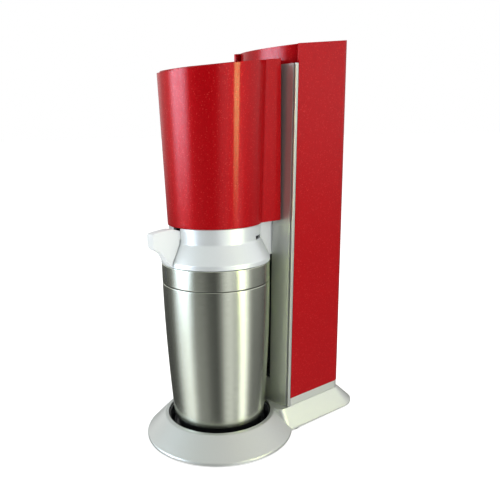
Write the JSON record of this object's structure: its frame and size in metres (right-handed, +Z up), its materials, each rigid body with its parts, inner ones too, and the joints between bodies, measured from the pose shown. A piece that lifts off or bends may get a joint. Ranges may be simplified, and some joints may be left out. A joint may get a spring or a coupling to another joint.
{
  "type": "soda carbonator",
  "caption": "Counter-top carbonator: a locking head slides on a column that hides the gas cylinder, over a glass carafe in a steel container.",
  "frame": {"origin": "on the counter, under the middle of the whole machine's box", "axes": "+Z up, +Y from the lock lever back to the column, +X to the right for a person facing the lock lever"},
  "size_m": [0.164, 0.256, 0.42],
  "materials": {
    "silver_plastic": "satin silver paint on moulded plastic",
    "silver_panel": "satin grey-silver",
    "white_plastic": "pale satin",
    "dark_plastic": "fine moulded grain",
    "gloss_black": "polished",
    "red_paint": "metallic red with clear coat",
    "brushed_steel": "brushed around the axis",
    "steel": "ground",
    "cylinder_metal": "satin",
    "cast_metal": "as cast",
    "brass": "turned",
    "rubber": "matte",
    "carafe_glass": "clear"
  },
  "bodies": {
    "base": {"base_shell": "silver_plastic", "base_plate": "dark_plastic", "feet": "rubber", "base_screws": "steel", "drip_tray": "gloss_black", "column_chassis": "dark_plastic", "rail_channel": "dark_plastic", "guide_rods": "steel", "front_panel": "silver_panel", "edge_strips": "silver_plastic", "top_cap": "red_paint", "valve_block": "cast_metal", "valve_seal": "rubber", "cylinder_cradle": "dark_plastic", "cylinder_clip": "dark_plastic", "gas_pipe": "brass", "gas_hose": "rubber"},
    "head": {"head_shroud": "red_paint", "head_frame": "dark_plastic", "carriage": "white_plastic", "slide_bushes": "brass", "neck_collar": "silver_plastic", "lever_pin": "steel", "nozzle_block": "dark_plastic", "dip_tube": "white_plastic", "bottle_seal": "rubber", "gas_valve": "brass", "relief_valve": "brass", "head_pipe": "brass", "head_screws": "steel", "button_spring": "steel"},
    "button": {"press_button": "red_paint", "button_plunger": "steel"},
    "lever": {"lock_lever": "white_plastic"},
    "cover": {"rear_cover": "red_paint"},
    "cylinder": {"gas_cylinder": "cylinder_metal", "cylinder_valve": "brass"},
    "container": {"container_shell": "brushed_steel", "container_band": "brushed_steel", "container_liner": "dark_plastic", "container_foot": "gloss_black"},
    "carafe": {"glass_carafe": "carafe_glass"}
  },
  "joints": [
    {"name": "head_lift", "type": "slide", "parent": "base", "child": "head", "axis": [0, 0, 1], "range_m": [0, 0.118], "deforming": ["gas_hose"]},
    {"name": "button_press", "type": "slide", "parent": "head", "child": "button", "axis": [0, 0, -1], "range_m": [0, 0.005], "stiffness_N_per_m": 900, "springref_m": -0.006, "deforming": ["button_spring"]},
    {"name": "lever_lift", "type": "hinge", "parent": "head", "child": "lever", "pos_m": [0, -0.091, 0.2315], "axis": [-1, 0, 0], "range_deg": [0, 20]},
    {"name": "cover_pull", "type": "slide", "parent": "base", "child": "cover", "axis": [0, 1, 0], "range_m": [0, 0.11]},
    {"name": "cylinder_turn", "type": "hinge", "parent": "base", "child": "cylinder", "pos_m": [0, 0.066, 0.2], "axis": [0, 0, 1], "continuous": true},
    {"name": "container_turn", "type": "hinge", "parent": "base", "child": "container", "pos_m": [0, -0.046, 0.1], "axis": [0, 0, 1], "continuous": true},
    {"name": "carafe_turn", "type": "hinge", "parent": "container", "child": "carafe", "pos_m": [0, -0.046, 0.1], "axis": [0, 0, 1], "continuous": true}
  ]
}
